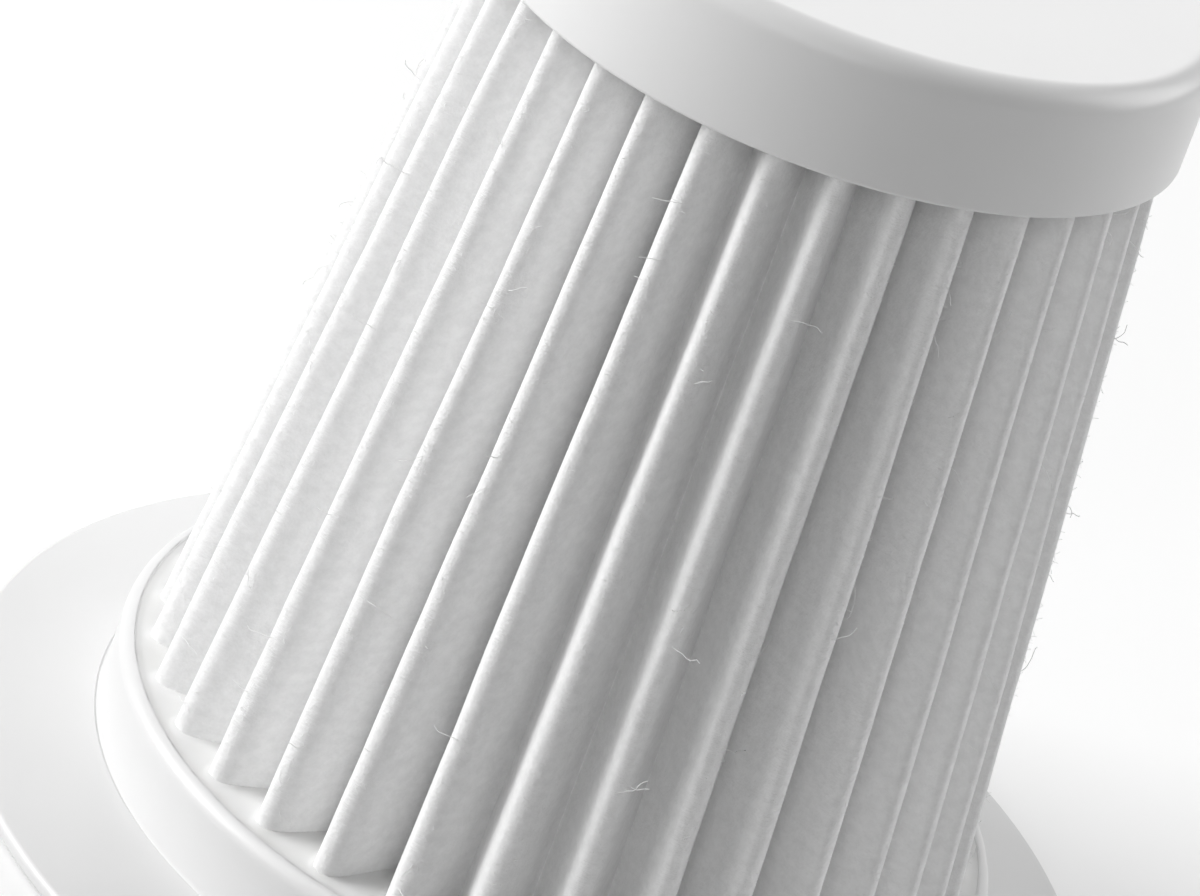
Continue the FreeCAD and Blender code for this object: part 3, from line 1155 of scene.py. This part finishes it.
# %% [markdown]
# ## Stage and light
# The photo is nearly all white: the table is white paper in full light, and it greys only
# where the filter keeps light from it. The floor here is pale, and it adds a share of plain
# white for the camera and for reflections alone, so it shows white without lighting the
# filter more.

# %% Floor
floor_size = 6.0
floor_glow = 0.33
floor_colour = 0.72
white = (1.0, 1.0, 1.0, 1.0)


def seen_directly(tree):
    """One for what the camera sees, straight or by a reflection, and zero for light."""
    rays = add_node(tree, "ShaderNodeLightPath").outputs
    seen = maths(tree, "MAXIMUM", rays["Is Camera Ray"], rays["Is Glossy Ray"])
    return maths(tree, "MAXIMUM", seen, rays["Is Transmission Ray"])


def make_floor():
    """A large pale plane under the filter that also shows a share of plain white."""
    half = floor_size / 2
    corners = [(-half, -half, 0.0), (half, -half, 0.0), (half, half, 0.0), (-half, half, 0.0)]
    material = bpy.data.materials.new("floor")
    material.use_nodes = True
    tree = material.node_tree
    tree.nodes.clear()
    paper = add_node(tree, "ShaderNodeBsdfDiffuse", {
        "Color": (floor_colour, floor_colour, floor_colour, 1.0)})
    strength = maths(tree, "MULTIPLY", seen_directly(tree), floor_glow)
    glow = add_node(tree, "ShaderNodeEmission", {"Color": white, "Strength": strength})
    both = add_node(tree, "ShaderNodeAddShader", {0: paper.outputs[0], 1: glow.outputs[0]})
    add_node(tree, "ShaderNodeOutputMaterial", {"Surface": both.outputs[0]})
    made = mesh_object("floor", corners, [(0, 1, 2, 3)], material)


make_floor()
print("floor", floor_size, "m wide")

# %% World
ambient_light = 0.01


def make_world():
    """Hardly any light of its own, and plain white where the camera sees past the floor."""
    world = bpy.data.worlds.new("studio")
    bpy.context.scene.world = world
    world.use_nodes = True
    tree = world.node_tree
    tree.nodes.clear()
    strength = spread(tree, seen_directly(tree), 0.0, 1.0, ambient_light, 1.0)
    sky = add_node(tree, "ShaderNodeBackground", {"Color": white, "Strength": strength})
    add_node(tree, "ShaderNodeOutputWorld", {"Surface": sky.outputs[0]})


make_world()
print("world light", ambient_light)

# %% [markdown]
# The light in the photo comes mostly from the left, through large soft panels, and from the
# right and behind, which lightens the far edge of the cap. Weak panels in front and behind
# open the shadows. Each lamp is given by its direction round the filter, its height above
# the horizon, its size and its power.

# %% Lamps
lamp_aim = Vector((0.0, 0.0, 0.045))
lamp_distance = 0.9
lamps = [  # name, turn and rise in degrees, size in metres, power in watts
    ("left_panel", -88.0, 25.0, 0.5, 6.3),
    ("left_front_panel", -64.0, 25.0, 0.45, 1.15),
    ("left_high_panel", -90.0, 58.0, 0.45, 2.0),
    ("right_panel", 116.0, 25.0, 0.6, 4.4),
    ("back_high_panel", 150.0, 58.0, 0.45, 0.2),
    ("front_panel", 0.0, 25.0, 0.5, 1.3),
    ("back_panel", -178.0, 25.0, 0.5, 0.95),
]


def softbox(name, turn, rise, size, power):
    """A square area lamp: turn 0 is the camera's side and grows to the right."""
    data = bpy.data.lights.new(name, "AREA")
    data.shape = "SQUARE"
    data.size = size
    data.energy = power
    around = math.radians(turn)
    above = math.radians(rise)
    direction = Vector((math.sin(around) * math.cos(above),
                        -math.cos(around) * math.cos(above), math.sin(above)))
    made = add_object(name, data)
    made.location = lamp_aim + direction * lamp_distance
    made.rotation_mode = "QUATERNION"
    made.rotation_quaternion = (-direction).to_track_quat("-Z", "Y")


for lamp in lamps:
    softbox(*lamp)
print("lamps:", [lamp[0] for lamp in lamps])
